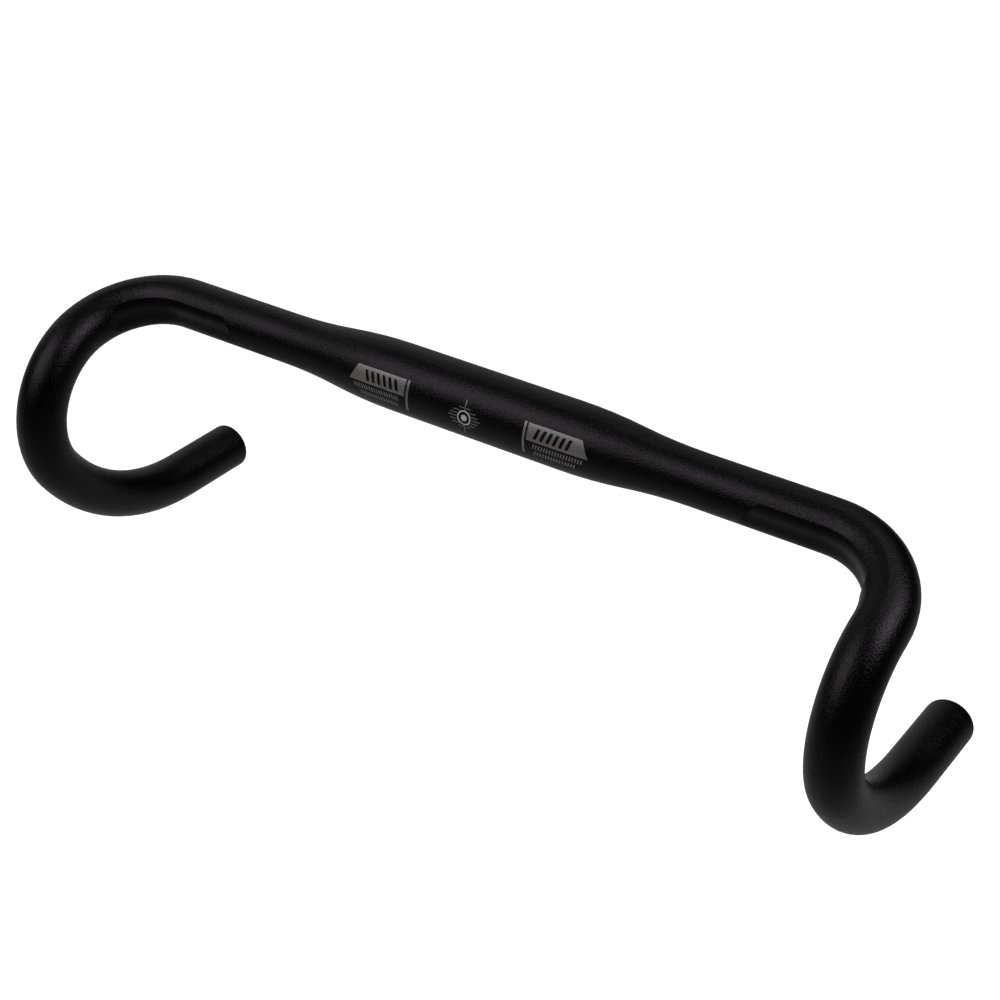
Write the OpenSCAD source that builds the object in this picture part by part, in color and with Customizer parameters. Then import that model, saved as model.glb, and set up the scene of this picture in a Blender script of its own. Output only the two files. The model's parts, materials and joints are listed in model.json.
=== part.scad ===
// Drop handlebar: one butted aluminium tube with a pressed cable groove each side, and a plug in each end.
// The centre of the stem's clamp is the origin. +X runs along the bar, -Y points forward and +Z up, with the
// drops level. All sizes are in millimetres and degrees.

/* [Bar] */
// Width between the centre-lines of the two drops
width = 420; // [390:10:460]
// How far the curve reaches forward of the clamp, centre to centre
reach = 66.5; // [62:0.5:80]
// How far the drops lie below the clamp, centre to centre
drop = 122; // [116:1:136]
// Length of the straight grip behind each curve, plug's cap included
grip_len = 40; // [30:1:60]

/* [Tube] */
// Outside diameter where the stem clamps
clamp_d = 31.8; // [28:0.1:35]
// Length of the clamp's full diameter
clamp_len = 90; // [60:2:100]
// Length of each taper between the clamp and the tops
taper_len = 64; // [40:1:75]
// Outside diameter of the tops, ramps and drops
tube_d = 23.8; // [22.2:0.1:25]
// Wall where the stem clamps
clamp_wall = 2.2; // [1.6:0.1:3]
// Wall beyond the tapers
tube_wall = 1.4; // [1.2:0.1:2]

/* [Bends] */
// Radius of the bend from each top into its ramp
top_bend_r = 40; // [34:1:50]
// How steeply the ramps fall away forward
ramp_angle = 19; // [8:1:24]
// Turn at which the tight front curve opens into the wider lower one
join_angle = 126; // [110:1:136]

/* [Cable groove] */
// Length of groove on the straight top
groove_lead = 35; // [20:1:45]
// How far round the top bend the groove runs
groove_turn = 58; // [40:1:70]
// Depth of the groove at its middle
groove_depth = 1.9; // [1:0.1:2.5]
// Radius of the groove's hollow
groove_r = 12; // [6:0.5:16]
// Radius of the soft shoulders beside the hollow
shoulder_r = 7; // [4:0.5:9]
// How far the groove sits above the plane of the bend
groove_tilt = 6; // [0:1:15]
// Lean of the short wall where the groove starts
start_lean = 30; // [10:1:50]
// Skew of that wall across the tube
start_skew = 28; // [0:1:35]
// Lean of the long wall where the groove runs out in the bend
finish_lean = 70; // [40:1:75]

/* [Plugs] */
// Thickness of each plug's cap
cap_thick = 1.6; // [1.2:0.1:4]
// Radius on the cap's outer edge
cap_round = 1; // [0.4:0.1:1.1]
// How far the cap's edge stays inside the tube's outside
cap_inset = 0.1; // [0:0.05:0.5]
// Length of the stem inside the tube
stem_len = 20; // [14:1:30]
// Wall of the hollow stem
stem_wall = 1.5; // [1:0.1:2.5]
// Height of the barbs on the stem
barb_h = 1; // [0.5:0.1:2]
// Length of each barb
barb_len = 3; // [1.5:0.1:3.4]
// Number of barbs
barb_count = 4; // [2:1:4]
// Gap between the barbs and the bore
plug_gap = 0.1; // [0.05:0.05:0.3]
// Width of the slots between the stem's fingers
slot_w = 2.4; // [1:0.1:4]
// Length of the solid root under the cap, before the slots
stem_root = 5; // [3:0.5:8]

/* [Hidden] */

$fn = 96;
taper_fn = 256; // the tapers' arcs are long and flat
past = 1; // how far a cutter runs past the face that it opens

clamp_r = clamp_d / 2;
tube_r = tube_d / 2;
bore_r = tube_r - tube_wall;
drop_x = width / 2;
top_len = drop_x - top_bend_r; // from the centre to the start of the bend
taper_end = clamp_len / 2 + taper_len;

// The hook is two arcs in one upright plane. Their centres are [forward, up] from the clamp's centre.
front_r = in_microns((reach - top_bend_r * cos(ramp_angle)) / (1 - sin(ramp_angle)));
front_c = top_bend_r * [cos(ramp_angle), -sin(ramp_angle)]
    + front_r * [-sin(ramp_angle), -cos(ramp_angle)];
lower_r = in_microns((drop + front_c[1] + front_r * cos(join_angle)) / (1 + cos(join_angle)));
lower_c = front_c - (lower_r - front_r) * [sin(join_angle), cos(join_angle)];
level_angle = 180; // where the lower curve runs straight back
tube_end = grip_len - cap_thick;

// The hollow's centre lies outside the tube. Each shoulder touches the hollow and just breaks the tube's circle.
shoulder_rise = 0.05;
groove_c = tube_r + groove_r - groove_depth;
shoulder_off = tube_r - shoulder_r + shoulder_rise;
shoulder_angle = acos((shoulder_off ^ 2 + groove_c ^ 2 - (groove_r + shoulder_r) ^ 2)
    / (2 * shoulder_off * groove_c));
shoulder_c = shoulder_off * [cos(shoulder_angle), sin(shoulder_angle)];
groove_half = tube_r * sin(shoulder_angle); // half the groove's width on the tube

// How far the groove's leaning end walls reach along the tube
start_before = groove_half * tan(start_skew) + tube_wall + past;
finish_turn = (groove_depth + tube_r * (1 - cos(shoulder_angle))) * tan(finish_lean) / top_bend_r * 180 / PI;

cap_r = tube_r - cap_inset;
barb_r = bore_r - plug_gap;
stem_r = barb_r - barb_h;
barb_step = (stem_len - stem_root) / barb_count;

function in_microns(size) = round(size * 1000) / 1000;

// The exact rebuild reads numbers of six digits. Curves that meet end to end are placed closer than that: a
// place is a short number and its rest, and the tilt is two turns whose roundings cancel, and their rest.
module placed(at) {
    near = [for (x = at) round(x * 100) / 100];
    translate(near) translate(at - near) children();
}

function rounded(turn) = [round(cos(turn) * 1e6), round(sin(turn) * 1e6)] / 1e6;
function real_turn(turn) = atan2(rounded(turn)[1], rounded(turn)[0]);
function growth(turn) = norm(rounded(turn)) * norm(rounded(ramp_angle - turn)) - 1;
first_turns = [for (turn = [35:0.005:80]) turn];
growths = [for (turn = first_turns) abs(growth(turn))];
first_turn = first_turns[search(min(growths), growths)[0]];
last_turn = ramp_angle - real_turn(first_turn) - real_turn(ramp_angle - first_turn);

module tilted() {
    for_now = ramp_angle - first_turn;
    translate([drop_x, 0, 0]) rotate([first_turn, 0, 0]) rotate([for_now, 0, 0]) rotate([last_turn, 0, 0])
        translate([-drop_x, 0, 0]) children();
}

// Cross-sections: x points away from the top bend's centre and y up

// The quarter outside a shoulder, which the groove takes with it
module corner() {
    to_tube = shoulder_c / shoulder_off;
    to_groove = ([groove_c, 0] - shoulder_c) / norm([groove_c, 0] - shoulder_c);
    size = 2 * shoulder_r;
    translate(shoulder_c)
        polygon([[0, 0], size * to_groove, size * (to_groove + to_tube), size * to_tube]);
}

// What the groove takes from the tube's section, drawn larger by inset for the bore
module hollow(inset) {
    rotate(180 - groove_tilt) intersection() {
        circle(tube_r + past);
        union() {
            translate([groove_c, 0]) circle(groove_r + inset);
            for (side = [0, 1]) mirror([0, side]) difference() {
                corner();
                translate(shoulder_c) circle(shoulder_r - inset);
            }
        }
    }
}

// Half of the straight middle: x is the radius and y runs along the tube
module straight_profile(mid_r, end_r) {
    step = mid_r - end_r;
    half = taper_len / 2;
    arc_r = (taper_len ^ 2 + step ^ 2) / (4 * step); // two equal arcs, one round and one hollow
    square([mid_r, clamp_len / 2]);
    translate([0, clamp_len / 2]) {
        intersection() {
            square([mid_r, half]);
            translate([mid_r - arc_r, 0]) circle(arc_r, $fn = taper_fn);
        }
        difference() {
            translate([0, half]) square([mid_r, half]);
            translate([end_r + arc_r, taper_len]) circle(arc_r, $fn = taper_fn);
        }
    }
    translate([0, taper_end]) square([end_r, top_len - taper_end]);
}

// Places on the centre-line, in the plane of the top bend

module on_top(x) {
    translate([x, 0, 0]) rotate([90, 0, 90]) children();
}

module on_top_bend(turn) {
    translate([top_len, -top_bend_r, 0]) rotate([0, 0, -turn])
        translate([0, top_bend_r, 0]) rotate([90, 0, 90]) children();
}

// A stretch of the top bend from its start, revolved from a section
module top_bend(turn) {
    translate([top_len, -top_bend_r, 0])
        rotate_extrude(start = 90 - turn, angle = turn) translate([top_bend_r, 0]) children();
}

// All that lies behind a leaning wall, which meets the middle of the groove at the tube's surface
module behind_wall(lean, skew, inset) {
    size = 6 * tube_r;
    rotate([0, 0, 180 - groove_tilt]) translate([tube_r, 0, 0]) rotate([-skew, lean, 0])
        translate([-size / 2, -size / 2, -size - inset]) cube(size);
}

// What the groove takes from the tube, with a leaning wall at each end
module groove(inset) {
    difference() {
        on_top(top_len - groove_lead - start_before)
            linear_extrude(groove_lead + start_before) hollow(inset);
        on_top(top_len - groove_lead) behind_wall(start_lean, start_skew, inset);
    }
    difference() {
        top_bend(groove_turn + finish_turn) hollow(inset);
        on_top_bend(groove_turn + finish_turn / 2) mirror([0, 0, 1]) behind_wall(finish_lean, 0, inset);
    }
}

// The circles that meet at a joint all start at the same point of it
module hook_arc(centre, radius, from, to, inset) {
    placed([drop_x, -centre[0], centre[1]]) rotate([90, 0, 90])
        rotate_extrude(start = 90 + from, angle = to - from) translate([radius, 0]) circle(tube_r - inset);
}

module at_tube_end() {
    placed([drop_x, -lower_c[0], lower_c[1]]) translate([0, tube_end, -lower_r])
        rotate([-90, 90, 0]) children();
}

// The half beyond the clamp's middle without its groove
module plain_half(clamp_inset, inset) {
    overrun = inset > 0 ? past : 0;
    tilted() {
        on_top(0) rotate([0, 0, 90]) rotate_extrude()
            straight_profile(clamp_r - clamp_inset, tube_r - inset);
        top_bend(90) rotate(90) circle(tube_r - inset);
    }
    hook_arc(front_c, front_r, ramp_angle, join_angle, inset);
    hook_arc(lower_c, lower_r, join_angle, level_angle, inset);
    at_tube_end() translate([0, 0, -tube_end]) cylinder(r = tube_r - inset, h = tube_end + overrun);
}

// One half of the bar's outside, or of its bore when drawn inward
module half_bar(clamp_inset, inset) {
    difference() {
        plain_half(clamp_inset, inset);
        tilted() groove(inset);
    }
}

module whole_bar(clamp_inset, inset) {
    for (side = [0, 1]) mirror([side, 0, 0]) half_bar(clamp_inset, inset);
}

module bar() {
    color([0.09, 0.085, 0.095]) difference() {
        whole_bar(0, 0);
        whole_bar(clamp_wall, tube_wall);
    }
}

module cap() {
    rotate_extrude() {
        square([cap_r, cap_thick - cap_round]);
        square([cap_r - cap_round, cap_thick]);
        translate([cap_r - cap_round, cap_thick - cap_round]) intersection() {
            circle(cap_round);
            square(cap_round);
        }
    }
}

// A hollow stem with barbs that point at the cap, slit into four fingers
module stem() {
    difference() {
        union() {
            translate([0, 0, -stem_len]) cylinder(r = stem_r, h = stem_len);
            for (i = [0:barb_count - 1])
                translate([0, 0, -stem_len + i * barb_step])
                    cylinder(r1 = stem_r, r2 = barb_r, h = barb_len);
        }
        translate([0, 0, -stem_len - past]) cylinder(r = stem_r - stem_wall, h = stem_len + past);
        for (turn = [0, 90]) rotate([0, 0, turn])
            translate([-tube_r, -slot_w / 2, -stem_len - past])
                cube([tube_d, slot_w, stem_len - stem_root + past]);
    }
}

module plug() {
    color([0.05, 0.05, 0.055]) at_tube_end() {
        cap();
        stem();
    }
}

// The rider's left hand is on +X
module left_plug() {
    plug();
}

module right_plug() {
    mirror([1, 0, 0]) plug();
}

bar();
left_plug();
right_plug();
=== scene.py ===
import json
from math import atan2, cos, degrees, pi, radians, sin, sqrt

import bpy
from mathutils import Matrix, Vector
from mathutils.bvhtree import BVHTree


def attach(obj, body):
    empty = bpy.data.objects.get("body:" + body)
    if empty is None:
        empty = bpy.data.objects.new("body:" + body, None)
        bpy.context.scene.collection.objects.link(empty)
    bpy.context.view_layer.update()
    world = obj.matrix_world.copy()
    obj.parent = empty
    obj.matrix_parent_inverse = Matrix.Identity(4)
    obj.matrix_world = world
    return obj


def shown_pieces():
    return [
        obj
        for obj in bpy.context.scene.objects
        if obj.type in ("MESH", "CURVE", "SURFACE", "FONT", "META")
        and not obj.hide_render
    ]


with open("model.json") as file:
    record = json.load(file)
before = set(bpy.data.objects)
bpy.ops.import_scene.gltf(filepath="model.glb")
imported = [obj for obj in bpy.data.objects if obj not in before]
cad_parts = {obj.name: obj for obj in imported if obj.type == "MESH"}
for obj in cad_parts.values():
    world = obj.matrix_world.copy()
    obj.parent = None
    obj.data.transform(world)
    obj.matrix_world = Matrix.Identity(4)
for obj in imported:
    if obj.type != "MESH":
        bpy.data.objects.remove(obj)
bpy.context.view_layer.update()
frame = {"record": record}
bar = bpy.data.objects["bar"]
leftPlug = bpy.data.objects["left_plug"]
rightPlug = bpy.data.objects["right_plug"]

# Places in the photo, in pixels of its 1000 x 1000 frame. The edges are the picture's own. The other names
# take the rider's left and right, so a left piece is at +X and shows on the right of the picture.
imageSize = (1000, 1000)
imagePoints = {
    "leftEdge": (17, None),
    "rightEdge": (974, None),
    "topEdge": (None, 276),
    "bottomEdge": (None, 834),
    "rightEnd": (232.0, 445.0),
    "leftEnd": (951.0, 721.0),
    "rightPanel": (377.2, 378.6),
    "leftPanel": (557.5, 441.3),
    "rightUpperHatch": (375.6, 390.7),
    "leftUpperHatch": (556.6, 454.8),
    "rightLowerHatch": (379.2, 397.8),
    "leftLowerHatch": (553.9, 459.8),
    "rightStrip": (406.6, 396.4),
    "leftStrip": (523.1, 437.5),
    "scale": (463.8, 418.0),
}

# Angles in degrees, lengths in metres, the lens and its sensor in millimetres
camera = {
    "azimuth": 32.98,
    "elevation": 31.09,
    "roll": 1.86,
    "distance": 0.86875,
    "target": (0.03313, -0.03585, -0.01951),
    "lens": 73.35,
    "sensor": 36.0,
    "sees": (0.05, 20),  # from how near to how far
}


def addCamera(spec):
    turn, rise, roll = (radians(spec[key]) for key in ("azimuth", "elevation", "roll"))
    back = Vector((sin(turn) * cos(rise), -cos(turn) * cos(rise), sin(rise)))
    level = Vector((cos(turn), sin(turn), 0))
    upright = back.cross(level)
    across = cos(roll) * level + sin(roll) * upright
    upward = cos(roll) * upright - sin(roll) * level
    data = bpy.data.cameras.new("camera")
    data.lens = spec["lens"]
    data.sensor_width = spec["sensor"]
    data.sensor_fit = "AUTO"
    data.clip_start, data.clip_end = spec["sees"]
    seen = bpy.data.objects.new("camera", data)
    bpy.context.scene.collection.objects.link(seen)
    axes = Matrix((across, upward, back)).transposed().to_4x4()
    seen.matrix_world = Matrix.Translation(Vector(spec["target"]) + back * spec["distance"]) @ axes
    bpy.context.scene.camera = seen
    return seen


eye = addCamera(camera)
bpy.context.view_layer.update()
print("camera ready")


# Where a pixel of the photo lies on the bar, and where a place shows in the photo

def surfaceTree(thing):
    mesh = thing.data
    corners = [thing.matrix_world @ vertex.co for vertex in mesh.vertices]
    return BVHTree.FromPolygons(corners, [face.vertices[:] for face in mesh.polygons])


barTree = surfaceTree(bar)


def rayThrough(x, y):
    width, height = imageSize
    longSide = max(width, height)
    data = eye.data
    away = Vector((
        x - width / 2 + data.shift_x * longSide,
        height / 2 - y + data.shift_y * longSide,
        -longSide * data.lens / data.sensor_width,
    ))
    return eye.matrix_world.translation, (eye.matrix_world.to_3x3() @ away).normalized()


missedRay = {"from": 0.6, "step": 0.01, "steps": 60}  # the stretch searched of a ray that misses, in metres


def placeOn(tree, point):
    start, away = rayThrough(*point)
    hit = tree.ray_cast(start, away)[0]
    if hit is None:  # a miss takes the place nearest the ray
        found = [
            tree.find_nearest(start + away * (missedRay["from"] + index * missedRay["step"]))
            for index in range(missedRay["steps"])
        ]
        hit = min(found, key=lambda nearest: nearest[3])[0]
    return hit


def shownAt(place):
    width, height = imageSize
    longSide = max(width, height)
    data = eye.data
    local = eye.matrix_world.inverted() @ Vector(place)
    perMetre = longSide * data.lens / data.sensor_width / -local.z
    return (
        width / 2 - data.shift_x * longSide + local.x * perMetre,
        height / 2 + data.shift_y * longSide - local.y * perMetre,
    )


# Materials

# The noise that all the finishes share
grainPattern = {
    "detail": 2,
    "roughness": 0.6,
    "cloudScale": 90,  # about how many clouds lie on a metre
    "cloudDetail": 3,
    "cloudShare": 0.35,
    "span": (0.34, 0.66),  # the part of the mixed noise that runs from dark to light
}


def makeSandGrain(spec):
    # Fine grains with soft, wider clouds under them, as on blasted metal. A Mix node's sockets share their
    # names, so they go by number: 0 is the share, 2 and 3 are the two numbers, 6 and 7 the two colours.
    tree = bpy.data.node_groups.new("sandGrain", "ShaderNodeTree")
    sockets = (
        ("Grain size", "INPUT", "Float"),
        ("Dark", "INPUT", "Color"),
        ("Light", "INPUT", "Color"),
        ("Smoothest", "INPUT", "Float"),
        ("Roughest", "INPUT", "Float"),
        ("Color", "OUTPUT", "Color"),
        ("Roughness", "OUTPUT", "Float"),
        ("Height", "OUTPUT", "Float"),
    )
    for name, side, kind in sockets:
        tree.interface.new_socket(name=name, in_out=side, socket_type="NodeSocket" + kind)
    nodes, links = tree.nodes, tree.links
    given = nodes.new("NodeGroupInput")
    out = nodes.new("NodeGroupOutput")
    place = nodes.new("ShaderNodeTexCoord")
    perGrain = nodes.new("ShaderNodeMath")
    perGrain.operation = "DIVIDE"
    perGrain.inputs[0].default_value = 1
    links.new(given.outputs["Grain size"], perGrain.inputs[1])
    grains = nodes.new("ShaderNodeTexNoise")
    grains.inputs["Detail"].default_value = spec["detail"]
    grains.inputs["Roughness"].default_value = spec["roughness"]
    links.new(place.outputs["Object"], grains.inputs["Vector"])
    links.new(perGrain.outputs[0], grains.inputs["Scale"])
    clouds = nodes.new("ShaderNodeTexNoise")
    clouds.inputs["Scale"].default_value = spec["cloudScale"]
    clouds.inputs["Detail"].default_value = spec["cloudDetail"]
    links.new(place.outputs["Object"], clouds.inputs["Vector"])
    both = nodes.new("ShaderNodeMix")
    both.data_type = "FLOAT"
    both.inputs[0].default_value = spec["cloudShare"]
    links.new(grains.outputs["Fac"], both.inputs[2])
    links.new(clouds.outputs["Fac"], both.inputs[3])
    spread = nodes.new("ShaderNodeMapRange")
    spread.inputs["From Min"].default_value, spread.inputs["From Max"].default_value = spec["span"]
    links.new(both.outputs[0], spread.inputs["Value"])
    tint = nodes.new("ShaderNodeMix")
    tint.data_type = "RGBA"
    links.new(spread.outputs["Result"], tint.inputs[0])
    links.new(given.outputs["Dark"], tint.inputs[6])
    links.new(given.outputs["Light"], tint.inputs[7])
    links.new(tint.outputs[2], out.inputs["Color"])
    rough = nodes.new("ShaderNodeMix")
    rough.data_type = "FLOAT"
    links.new(spread.outputs["Result"], rough.inputs[0])
    links.new(given.outputs["Smoothest"], rough.inputs[2])
    links.new(given.outputs["Roughest"], rough.inputs[3])
    links.new(rough.outputs[0], out.inputs["Roughness"])
    links.new(grains.outputs["Fac"], out.inputs["Height"])
    return tree


sandGrain = makeSandGrain(grainPattern)


def grainedMaterial(name, spec):
    material = bpy.data.materials.new(name)
    material.use_nodes = True
    nodes, links = material.node_tree.nodes, material.node_tree.links
    shader = nodes["Principled BSDF"]
    shader.inputs["Metallic"].default_value = spec["metallic"]
    shader.inputs["IOR"].default_value = spec["ior"]
    shader.inputs["Specular Tint"].default_value = (*spec["sheen"], 1)
    grain = nodes.new("ShaderNodeGroup")
    grain.node_tree = sandGrain
    grain.inputs["Grain size"].default_value = spec["grain"]
    grain.inputs["Dark"].default_value = (*spec["dark"], 1)
    grain.inputs["Light"].default_value = (*spec["light"], 1)
    grain.inputs["Smoothest"].default_value = spec["rough"][0]
    grain.inputs["Roughest"].default_value = spec["rough"][1]
    bump = nodes.new("ShaderNodeBump")
    bump.inputs["Strength"].default_value = spec["bump"]
    bump.inputs["Distance"].default_value = spec["relief"]
    links.new(grain.outputs["Color"], shader.inputs["Base Color"])
    links.new(grain.outputs["Roughness"], shader.inputs["Roughness"])
    links.new(grain.outputs["Height"], bump.inputs["Height"])
    links.new(bump.outputs["Normal"], shader.inputs["Normal"])
    return material


# Tones go from dark to light and gloss from its smoothest to its roughest. The grain is a width and its
# relief a depth, both in metres, and the sheen is the colour of the gloss seen head on.
blastedBlack = {
    "dark": (0.0004, 0.00035, 0.00045),
    "light": (0.0014, 0.0012, 0.0015),
    "rough": (0.23, 0.31),
    "grain": 0.0007,
    "bump": 1.0,
    "relief": 0.00022,
    "metallic": 0,
    "ior": 1.33,
    "sheen": (1.0, 0.93, 0.99),
}
mouldedBlack = {
    "dark": (0.0030, 0.0030, 0.0032),
    "light": (0.0055, 0.0055, 0.0058),
    "rough": (0.42, 0.55),
    "grain": 0.0005,
    "bump": 0.2,
    "relief": 0.00003,
    "metallic": 0,
    "ior": 1.36,
    "sheen": (1, 1, 1),
}
silverInk = {
    "dark": (0.20, 0.193, 0.19),
    "light": (0.29, 0.28, 0.277),
    "rough": (0.38, 0.48),
    "grain": 0.00045,
    "bump": 0.4,
    "relief": 0.00004,
    "metallic": 0.76,
    "ior": 1.45,
    "sheen": (1, 1, 1),
}
paleInk = {
    "dark": (0.27, 0.262, 0.262),
    "light": (0.41, 0.40, 0.40),
    "rough": (0.5, 0.65),
    "grain": 0.00045,
    "bump": 0.3,
    "relief": 0.00003,
    "metallic": 0,
    "ior": 1.4,
    "sheen": (1, 1, 1),
}

barFinish = grainedMaterial("blastedBlack", blastedBlack)
plugFinish = grainedMaterial("mouldedBlack", mouldedBlack)
silverFinish = grainedMaterial("silverInk", silverInk)
paleFinish = grainedMaterial("paleInk", paleInk)


def giveFinish(thing, material):
    thing.data.materials.clear()
    thing.data.materials.append(material)


giveFinish(bar, barFinish)
giveFinish(leftPlug, plugFinish)
giveFinish(rightPlug, plugFinish)
print("finishes given to the bar and its plugs")


# The print on the clamp area. Each mark is cut from a thin sleeve round the tube, which follows the taper.
# Lengths are in metres, and turns are degrees round the tube, from its front upwards.
mountSizes = {mount["name"]: mount["dims"] for mount in frame["record"]["mounts"]}
tube = {
    "clampRadius": mountSizes["stem_clamp"]["r_mm"] / 1000,
    "clampHalf": mountSizes["stem_clamp"]["length_mm"] / 2000,
    "endRadius": mountSizes["left_drop_end"]["r_mm"] / 1000,
    "taper": 0.064,
}
ink = {
    "proud": 0.00003,  # from the tube to the mark's underside
    "thick": 0.00004,
    "sides": 360,  # of the whole sleeve, so its faces are 1 degree wide
    "spare": 1.2,  # degrees that a sleeve keeps beside the mark until it is cut
    "merge": 0.000001,  # corners nearer than this become one
    "cutSlack": 0.0000001,  # a corner this near to a cut lies on it
}


def tubeRadius(x):
    # straight under the clamp, then a taper of two arcs that meet halfway
    step = tube["clampRadius"] - tube["endRadius"]
    arc = (tube["taper"] ** 2 + step ** 2) / (4 * step)
    along = abs(x) - tube["clampHalf"]
    if along <= 0:
        return tube["clampRadius"]
    if along <= tube["taper"] / 2:
        return tube["clampRadius"] - arc + sqrt(arc * arc - along * along)
    if along < tube["taper"]:
        return tube["endRadius"] + arc - sqrt(arc * arc - (tube["taper"] - along) ** 2)
    return tube["endRadius"]


def spotOf(place):
    # along the bar, and round it in degrees above its front
    return place.x, degrees(atan2(place.z, -place.y))


def spotPlace(along, turn, radius):
    return Vector((along, -radius * cos(radians(turn)), radius * sin(radians(turn))))


def deselectAll():
    if bpy.context.object and bpy.context.object.mode != "OBJECT":
        bpy.ops.object.mode_set(mode="OBJECT")
    bpy.ops.object.select_all(action="DESELECT")


def selectOnly(thing):
    deselectAll()
    thing.select_set(True)
    bpy.context.view_layer.objects.active = thing


def selectFaces(thing, wanted):
    bpy.ops.object.mode_set(mode="OBJECT")
    for face in thing.data.polygons:
        face.select = wanted(face)
    chosen = {index for face in thing.data.polygons if face.select for index in face.vertices}
    for vertex in thing.data.vertices:
        vertex.select = vertex.index in chosen
    for edge in thing.data.edges:
        edge.select = edge.vertices[0] in chosen and edge.vertices[1] in chosen
    bpy.ops.object.mode_set(mode="EDIT")
    return bool(chosen)


def dropFaces(thing, unwanted):
    selectOnly(thing)
    bpy.ops.object.mode_set(mode="EDIT")
    bpy.ops.mesh.select_mode(type="FACE")
    if selectFaces(thing, unwanted):
        bpy.ops.mesh.delete(type="FACE")
    bpy.ops.object.mode_set(mode="OBJECT")


def addSleeve(name, alongFrom, alongTo, turnFrom, turnTo, rings=1):
    deselectAll()
    bpy.ops.mesh.primitive_cylinder_add(
        vertices=ink["sides"],
        radius=tube["clampRadius"],
        depth=alongTo - alongFrom,
        end_fill_type="NOTHING",
        location=((alongFrom + alongTo) / 2, 0, 0),
        rotation=(0, pi / 2, 0),
    )
    sleeve = bpy.context.object
    sleeve.name = sleeve.data.name = name
    bpy.ops.object.transform_apply(location=True, rotation=True, scale=True)

    def offTheArc(face):
        turn = spotOf(face.center)[1]
        return turn < turnFrom - ink["spare"] or turn > turnTo + ink["spare"]

    dropFaces(sleeve, offTheArc)
    cutSleeve(sleeve, [(alongFrom, turnFrom), (alongTo, turnFrom)], drop="below")
    cutSleeve(sleeve, [(alongFrom, turnTo), (alongTo, turnTo)], drop="above")
    for ring in range(1, rings):
        along = alongFrom + (alongTo - alongFrom) * ring / rings
        cutSleeve(sleeve, [(along, turnFrom), (along, turnTo)])
    return sleeve


def cutSleeve(sleeve, line, drop=None):
    # A flat cut through two places on the sleeve, square to its surface between them. What lies below or
    # above the cut is dropped, or what lies after it, towards +X.
    (alongA, turnA), (alongB, turnB) = line
    middle = radians((turnA + turnB) / 2)
    outward = Vector((0, -cos(middle), sin(middle)))
    placeA, placeB = (spotPlace(along, turn, tube["clampRadius"]) for along, turn in line)
    normal = (placeB - placeA).cross(outward).normalized()
    upward = Vector((0, sin(middle), cos(middle)))
    across = upward if abs(alongB - alongA) > abs(placeB.z - placeA.z) else Vector((1, 0, 0))
    if normal.dot(across) < 0:
        normal = -normal
    bpy.ops.object.mode_set(mode="EDIT")
    bpy.ops.mesh.select_all(action="SELECT")
    bpy.ops.mesh.bisect(
        plane_co=placeA,
        plane_no=normal,
        clear_inner=drop == "below",
        clear_outer=drop in ("above", "after"),
        threshold=ink["cutSlack"],
    )
    bpy.ops.object.mode_set(mode="OBJECT")


def facesInward(thing):
    outward = 0
    for face in thing.data.polygons:
        outward += face.normal.dot(Vector((0, face.center.y, face.center.z)))
    return outward < 0


def finishPrint(sleeve):
    # the sleeve follows the tube, stands just proud of it and gets its thickness
    selectOnly(sleeve)
    for vertex in sleeve.data.vertices:
        along, turn = spotOf(vertex.co)
        place = spotPlace(along, turn, tubeRadius(along))
        vertex.co = place + Vector((0, place.y, place.z)).normalized() * ink["proud"]
    bpy.ops.object.mode_set(mode="EDIT")
    bpy.ops.mesh.select_all(action="SELECT")
    bpy.ops.mesh.remove_doubles(threshold=ink["merge"])
    bpy.ops.mesh.normals_make_consistent(inside=False)
    bpy.ops.object.mode_set(mode="OBJECT")
    if facesInward(sleeve):
        bpy.ops.object.mode_set(mode="EDIT")
        bpy.ops.mesh.select_all(action="SELECT")
        bpy.ops.mesh.flip_normals()
        bpy.ops.object.mode_set(mode="OBJECT")
    wall = sleeve.modifiers.new("ink", "SOLIDIFY")
    wall.thickness = ink["thick"]
    wall.offset = 1
    bpy.ops.object.modifier_apply(modifier=wall.name)
    giveFinish(sleeve, silverFinish)
    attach(sleeve, "root")
    return sleeve


def mirrored(thing, name):
    # the other half's copy, with its own mesh
    other = thing.copy()
    other.data = thing.data.copy()
    other.name = other.data.name = name
    bpy.context.scene.collection.objects.link(other)
    selectOnly(other)
    bpy.ops.object.mode_set(mode="EDIT")
    bpy.ops.mesh.select_all(action="SELECT")
    bpy.ops.transform.resize(value=(-1, 1, 1), center_override=(0, 0, 0))
    bpy.ops.mesh.normals_make_consistent(inside=False)
    bpy.ops.object.mode_set(mode="OBJECT")
    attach(other, "root")
    return other


def pairSpot(name):
    # the mean of a mirrored pair's two image points, on the rider's left, where x is above 0
    leftAlong, leftTurn = spotOf(placeOn(barTree, imagePoints["left" + name]))
    rightAlong, rightTurn = spotOf(placeOn(barTree, imagePoints["right" + name]))
    print(f"{name}: left {leftAlong * 1000:.2f} mm along and {leftTurn:.2f} degrees round,",
          f"right {rightAlong * 1000:.2f} mm and {rightTurn:.2f} degrees")
    return (abs(leftAlong) + abs(rightAlong)) / 2, (leftTurn + rightTurn) / 2


# The grey panel, with slanted bars left bare in it
panel = {
    "reach": 0.01528,  # half of its length on the long side
    "slant": 0.0038,  # how much shorter it is on top
    "turn": 14.2,  # half of its height
    "rings": 8,  # lengths that it is cut into, so that it follows the taper
    "barCount": 6,
    "barFrom": 0.0032,  # from the inner edge to the first bar
    "barStep": 0.0032,
    "barWide": 0.0016,
    "barLean": 0.0016,
    "barTurns": (-9.6, 8.6),  # where the bars begin and end, from its middle
}


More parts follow.
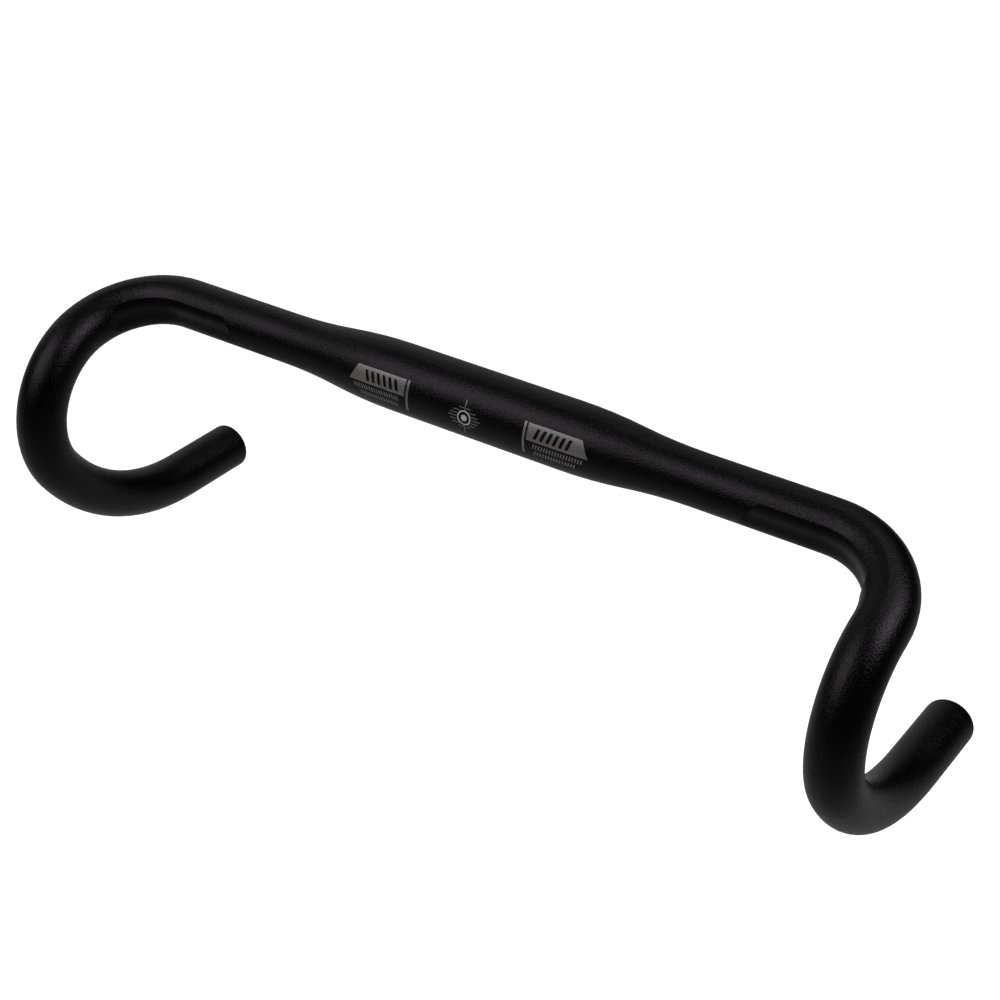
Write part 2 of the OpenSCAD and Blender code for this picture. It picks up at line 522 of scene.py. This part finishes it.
def makePanel():
    along, turn = pairSpot("Panel")
    inner, outer = along - panel["reach"], along + panel["reach"]
    low, high = turn - panel["turn"], turn + panel["turn"]
    sleeve = addSleeve("left_panel", inner, outer, low, high, panel["rings"])
    cutSleeve(sleeve, [(outer, low), (outer - panel["slant"], high)], drop="after")
    barLow, barHigh = turn + panel["barTurns"][0], turn + panel["barTurns"][1]
    cutSleeve(sleeve, [(inner, barLow), (outer, barLow)])
    cutSleeve(sleeve, [(inner, barHigh), (outer, barHigh)])
    starts = [inner + panel["barFrom"] + index * panel["barStep"] for index in range(panel["barCount"])]
    for start in starts:
        for edge in (start, start + panel["barWide"]):
            cutSleeve(sleeve, [(edge, barLow), (edge + panel["barLean"], barHigh)])

    def inABar(face):
        x, faceTurn = spotOf(face.center)
        x -= panel["barLean"] * (faceTurn - barLow) / (barHigh - barLow)
        return barLow < faceTurn < barHigh and any(0 < x - start < panel["barWide"] for start in starts)

    dropFaces(sleeve, inABar)
    return finishPrint(sleeve)


leftPanel = makePanel()
rightPanel = mirrored(leftPanel, "right_panel")


# Two rows of fine slanted strokes under each panel. Half is half of the row's length and turn half of its
# height. A stroke takes its share of a step and leans outwards as it rises.
hatch = {
    "Upper": {"half": 0.01265, "turn": 4.1, "count": 18, "share": 0.45, "lean": 0.0007},
    "Lower": {"half": 0.01055, "turn": 3.8, "count": 15, "share": 0.45, "lean": 0.0007},
}


def makeHatch(row):
    spec = hatch[row]
    along, turn = pairSpot(row + "Hatch")
    low, high = turn - spec["turn"], turn + spec["turn"]
    step = (2 * spec["half"] - spec["lean"]) / (spec["count"] - 1 + spec["share"])
    start = along - spec["half"]
    sleeve = addSleeve("left_" + row.lower() + "_hatch", start, along + spec["half"], low, high)
    for index in range(spec["count"]):
        for edge in (start + index * step, start + (index + spec["share"]) * step):
            cutSleeve(sleeve, [(edge, low), (edge + spec["lean"], high)])

    def betweenStrokes(face):
        x, faceTurn = spotOf(face.center)
        x -= start + spec["lean"] * (faceTurn - low) / (high - low)
        return x < 0 or x % step > spec["share"] * step

    dropFaces(sleeve, betweenStrokes)
    return finishPrint(sleeve)


leftUpperHatch = makeHatch("Upper")
leftLowerHatch = makeHatch("Lower")
rightUpperHatch = mirrored(leftUpperHatch, "right_upper_hatch")
rightLowerHatch = mirrored(leftLowerHatch, "right_lower_hatch")


# The thin strip that bounds the stem's seat on each side
strip = {"wide": 0.0012, "turn": 27.1}  # its turn is half of its height


def makeStrip():
    along, turn = pairSpot("Strip")
    half = strip["wide"] / 2
    sleeve = addSleeve("left_strip", along - half, along + half, turn - strip["turn"], turn + strip["turn"])
    return finishPrint(sleeve)


leftStrip = makeStrip()
rightStrip = mirrored(leftStrip, "right_strip")


# The scale in the middle, which shows how far the bar is turned in its stem
scale = {
    "line": 0.00045,  # width of the upright line
    "lineTurn": 30,  # half of its height
    "tick": 0.00045,  # a tick's width
    "tickStep": 5.45,  # from one to the next, in degrees
    "tickHalves": (0.003, 0.0058, 0.0072, 0.0084, 0.0072, 0.0058, 0.003),
    "tickGap": 0.0004,  # from the line to a tick
    "ring": 0.0035,  # the radius of its rim
    "ringGap": 0.0006,  # from the ring to a tick beside it
    "ringWide": 0.0006,
    "ringSides": 48,
    "dot": 0.0015,  # its radius
}


def makeScaleMarks(along, turn):
    half = scale["line"] / 2
    low, high = turn - scale["lineTurn"], turn + scale["lineTurn"]
    line = addSleeve("scale_line", along - half, along + half, low, high)
    ringTurn = degrees(scale["ring"] / tube["clampRadius"])
    for edge in (turn - ringTurn, turn + ringTurn):
        cutSleeve(line, [(along - half, edge), (along + half, edge)])
    dropFaces(line, lambda face: abs(spotOf(face.center)[1] - turn) < ringTurn)
    marks = [line]
    thick = degrees(scale["tick"] / 2 / tube["clampRadius"])
    for index, reach in enumerate(scale["tickHalves"]):
        tickTurn = (index - len(scale["tickHalves"]) // 2) * scale["tickStep"]
        middle = turn + tickTurn
        tick = addSleeve("tick", along - reach, along + reach, middle - thick, middle + thick)
        away = radians(tickTurn) * tube["clampRadius"]
        gap = half + scale["tickGap"]
        if abs(away) < scale["ring"]:  # a tick beside the ring stops just short of it
            gap = sqrt(scale["ring"] ** 2 - away ** 2) + scale["ringGap"]
        for edge in (along - gap, along + gap):
            cutSleeve(tick, [(edge, middle - thick), (edge, middle + thick)])
        dropFaces(tick, lambda face: abs(face.center.x - along) < gap)
        marks.append(tick)
    return marks


def makeScaleRing(along, turn):
    # a flat disc with two insets, without the band between them, wrapped onto the tube
    deselectAll()
    bpy.ops.mesh.primitive_circle_add(
        vertices=scale["ringSides"],
        radius=scale["ring"],
        fill_type="NGON",
        location=(0, 0, 0),
    )
    ring = bpy.context.object
    ring.name = ring.data.name = "ring"
    bpy.ops.object.mode_set(mode="EDIT")
    bpy.ops.mesh.select_mode(type="FACE")
    bpy.ops.mesh.select_all(action="SELECT")
    inner = scale["ring"] - scale["ringWide"]
    bpy.ops.mesh.inset(thickness=scale["ringWide"], depth=0)
    bpy.ops.mesh.inset(thickness=inner - scale["dot"], depth=0)
    bpy.ops.object.mode_set(mode="OBJECT")

    def bareBand(face):  # its outermost corner lies nearer to the ring's inside than to the dot or the rim
        away = max(ring.data.vertices[index].co.length for index in face.vertices)
        return (scale["dot"] + inner) / 2 < away < (inner + scale["ring"]) / 2

    dropFaces(ring, bareBand)
    for vertex in ring.data.vertices:
        x, y = vertex.co.x, vertex.co.y
        vertex.co = spotPlace(along + x, turn + degrees(y / tube["clampRadius"]), tube["clampRadius"])
    return ring


def makeScale():
    along, turn = spotOf(placeOn(barTree, imagePoints["scale"]))
    print(f"Scale: {along * 1000:.2f} mm along and {turn:.2f} degrees round")
    marks = makeScaleMarks(along, turn) + [makeScaleRing(along, turn)]
    deselectAll()
    for mark in marks:
        mark.select_set(True)
    bpy.context.view_layer.objects.active = marks[0]
    bpy.ops.object.join()
    marks[0].name = marks[0].data.name = "scale"
    made = finishPrint(marks[0])
    made.data.materials.append(paleFinish)
    for face in made.data.polygons:  # the ring and its dot are paler than the thin marks
        faceAlong, faceTurn = spotOf(face.center)
        across = radians(faceTurn - turn) * tube["clampRadius"]
        away = sqrt((faceAlong - along) ** 2 + across ** 2)
        face.material_index = int(away < scale["ring"])
    return made


alignmentScale = makeScale()
printMarks = [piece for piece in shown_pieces() if piece not in (bar, leftPlug, rightPlug)]
print("print marks made:", len(printMarks))


# The floor, the surroundings and the lamps

def lightPathWhite(nodes, links):
    # 1 for the rays that should see a white background
    path = nodes.new("ShaderNodeLightPath")
    either = nodes.new("ShaderNodeMath")
    either.operation = "MAXIMUM"
    links.new(path.outputs["Is Camera Ray"], either.inputs[0])
    links.new(path.outputs["Is Transmission Ray"], either.inputs[1])
    return path, either


floor = {
    "size": 14.0,
    "height": -0.55,
    "color": 0.86,
    "glow": 0.54,  # what it gives off where the camera sees it
    "paintedGlowCentre": (-1.2, 0.9),  # where the floor's glow for the bar's gloss is brightest, the centre of a painted pool of light
    "fade": (0.8, 3.6),  # from there to where that painted glow has faded to dark, in metres
    "reflected": (0.32, 0.03),  # how strongly the floor glows for the gloss at those two distances, a painted reflection
}


def addFloor(spec):
    deselectAll()
    bpy.ops.mesh.primitive_plane_add(size=spec["size"], location=(0, 0, spec["height"]))
    plane = bpy.context.object
    plane.name = "floor"
    bpy.ops.object.transform_apply(location=True, rotation=True, scale=True)
    material = bpy.data.materials.new("paleFloor")
    material.use_nodes = True
    nodes, links = material.node_tree.nodes, material.node_tree.links
    nodes.remove(nodes["Principled BSDF"])
    matt = nodes.new("ShaderNodeBsdfDiffuse")
    matt.inputs["Color"].default_value = (spec["color"],) * 3 + (1,)
    glow = nodes.new("ShaderNodeEmission")
    glow.inputs["Color"].default_value = (1, 1, 1, 1)
    path, seen = lightPathWhite(nodes, links)
    amount = nodes.new("ShaderNodeMath")
    amount.operation = "MULTIPLY"
    amount.inputs[1].default_value = spec["glow"]
    links.new(seen.outputs[0], amount.inputs[0])
    links.new(amount.outputs[0], glow.inputs["Strength"])
    both = nodes.new("ShaderNodeAddShader")
    links.new(matt.outputs[0], both.inputs[0])
    links.new(glow.outputs[0], both.inputs[1])
    paintedFloorGlow = nodes.new("ShaderNodeEmission")  # a painted reflection: the floor glows for gloss rays only, brightest round one spot and fainter further away
    paintedFloorGlow.inputs["Color"].default_value = (1, 1, 1, 1)
    place = nodes.new("ShaderNodeTexCoord")
    away = nodes.new("ShaderNodeVectorMath")
    away.operation = "DISTANCE"
    away.inputs[1].default_value = (*spec["paintedGlowCentre"], spec["height"])
    links.new(place.outputs["Object"], away.inputs[0])
    fade = nodes.new("ShaderNodeMapRange")
    fade.inputs["From Min"].default_value, fade.inputs["From Max"].default_value = spec["fade"]
    fade.inputs["To Min"].default_value, fade.inputs["To Max"].default_value = spec["reflected"]
    links.new(away.outputs["Value"], fade.inputs["Value"])
    links.new(fade.outputs["Result"], paintedFloorGlow.inputs["Strength"])
    either = nodes.new("ShaderNodeMixShader")
    links.new(path.outputs["Is Glossy Ray"], either.inputs[0])
    links.new(both.outputs[0], either.inputs[1])
    links.new(paintedFloorGlow.outputs[0], either.inputs[2])
    links.new(either.outputs[0], nodes["Material Output"].inputs["Surface"])
    plane.data.materials.append(material)


surroundings = {
    "lit": 0.55,  # for all but the camera and the gloss
    "reflected": 0.0,  # for the gloss, away from the pale wall
    "backdrop": 0.31,  # the pale wall behind, as the bar's gloss shows it
    "backdropSide": (-0.76, 0.55, 0.28),
    "backdropSpan": (0.66, 0.98),  # cosines of the angles from there at which it ends and is at its palest
}


def addSurroundings(spec):
    world = bpy.data.worlds.new("surroundings")
    bpy.context.scene.world = world
    world.use_nodes = True
    nodes, links = world.node_tree.nodes, world.node_tree.links
    sky = nodes["Background"]
    sky.inputs["Color"].default_value = (1, 1, 1, 1)
    path, seen = lightPathWhite(nodes, links)
    direction = nodes.new("ShaderNodeTexCoord")
    towards = nodes.new("ShaderNodeVectorMath")
    towards.operation = "DOT_PRODUCT"
    towards.inputs[1].default_value = Vector(spec["backdropSide"]).normalized()
    links.new(direction.outputs["Generated"], towards.inputs[0])
    wall = nodes.new("ShaderNodeMapRange")
    wall.interpolation_type = "SMOOTHSTEP"
    wall.inputs["From Min"].default_value, wall.inputs["From Max"].default_value = spec["backdropSpan"]
    wall.inputs["To Min"].default_value = spec["reflected"]
    wall.inputs["To Max"].default_value = spec["backdrop"]
    links.new(towards.outputs["Value"], wall.inputs["Value"])
    dim = nodes.new("ShaderNodeMix")
    dim.data_type = "FLOAT"
    dim.inputs[2].default_value = spec["lit"]
    links.new(wall.outputs["Result"], dim.inputs[3])
    links.new(path.outputs["Is Glossy Ray"], dim.inputs[0])
    strength = nodes.new("ShaderNodeMix")
    strength.data_type = "FLOAT"
    strength.inputs[3].default_value = 1
    links.new(seen.outputs[0], strength.inputs[0])
    links.new(dim.outputs[0], strength.inputs[2])
    links.new(strength.outputs[0], sky.inputs["Strength"])


# Places and sizes in metres, power in watts. Each lamp faces the middle of the clamp area.
lamps = {
    "frontBox": {"place": (-0.55, -0.78, 0.86), "size": 0.95, "power": 5.3},
    "sideBox": {"place": (0.87, 0.22, 0.97), "size": 0.62, "power": 5.8},
    "topBox": {"place": (0.14, 0.44, 1.1), "size": 0.6, "power": 1.1},
}


def addLamp(name, spec):
    data = bpy.data.lights.new(name, "AREA")
    data.shape = "SQUARE"
    data.size = spec["size"]
    data.energy = spec["power"]
    lamp = bpy.data.objects.new(name, data)
    lamp.location = spec["place"]
    lamp.rotation_euler = Vector(spec["place"]).to_track_quat("Z", "Y").to_euler()
    bpy.context.scene.collection.objects.link(lamp)


addFloor(floor)
addSurroundings(surroundings)
for name, spec in lamps.items():
    addLamp(name, spec)
bpy.context.scene.view_settings.view_transform = "Standard"
print("floor, surroundings and lamps ready")


# Where the corners of each thing that the camera sees show in the picture

hiddenFrom = 0.0006  # a place is hidden by what lies this far before it, in metres


def shownVertices(thing, blockers):
    start = eye.matrix_world.translation
    found = []
    for vertex in thing.data.vertices:
        place = thing.matrix_world @ vertex.co
        away = place - start
        if vertex.normal.dot(away) > 0:
            continue
        hit = blockers.ray_cast(start, away.normalized())
        if hit[0] is None or hit[3] > away.length - hiddenFrom:
            found.append(shownAt(place))
    return found


def measurePoints():
    bpy.context.view_layer.update()
    things = {
        "rightEnd": rightPlug,
        "leftEnd": leftPlug,
        "rightPanel": rightPanel,
        "leftPanel": leftPanel,
        "rightUpperHatch": rightUpperHatch,
        "leftUpperHatch": leftUpperHatch,
        "rightLowerHatch": rightLowerHatch,
        "leftLowerHatch": leftLowerHatch,
        "rightStrip": rightStrip,
        "leftStrip": leftStrip,
        "scale": alignmentScale,
    }
    for name, thing in things.items():
        seen = shownVertices(thing, barTree)


measurePoints()
